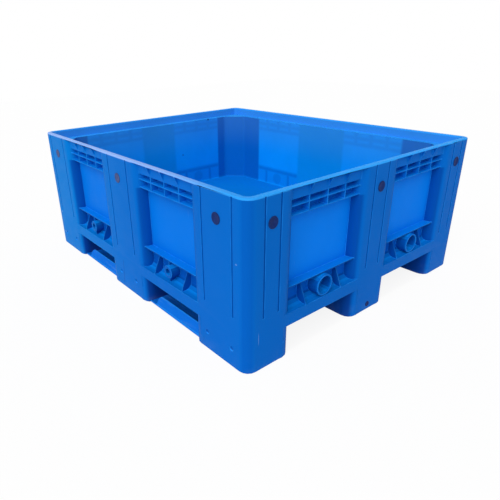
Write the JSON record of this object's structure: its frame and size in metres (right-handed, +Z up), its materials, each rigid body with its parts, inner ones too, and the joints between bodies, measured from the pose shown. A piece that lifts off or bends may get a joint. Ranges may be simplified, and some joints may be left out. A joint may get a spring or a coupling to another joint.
{
  "type": "pallet box",
  "caption": "Shallow blue moulded pallet box with solid ribbed walls, hollow feet and runners, open to forks from every side.",
  "frame": {"origin": "centre of the footprint, on the ground", "axes": "+X along the long sides, +Y along the short sides, +Z up"},
  "size_m": [1.2038, 1.0038, 0.465],
  "materials": {
    "blue_moulding": "moulded polyethylene, soft sheen, light scuffs",
    "blue_runner": "moulded polyethylene, soft sheen, rubbed by forks",
    "navy_plug": "dark flat plastic, dull"
  },
  "bodies": {
    "root": {"tub": "blue_moulding", "runner_front": "blue_runner", "runner_middle": "blue_runner", "runner_back": "blue_runner", "plug_front_1": "navy_plug", "plug_front_2": "navy_plug", "plug_front_3": "navy_plug", "plug_right_1": "navy_plug", "plug_right_2": "navy_plug", "plug_right_3": "navy_plug", "plug_back_1": "navy_plug", "plug_back_2": "navy_plug", "plug_back_3": "navy_plug", "plug_left_1": "navy_plug", "plug_left_2": "navy_plug", "plug_left_3": "navy_plug", "foot_plug_right": "navy_plug", "foot_plug_left": "navy_plug"}
  },
  "joints": []
}
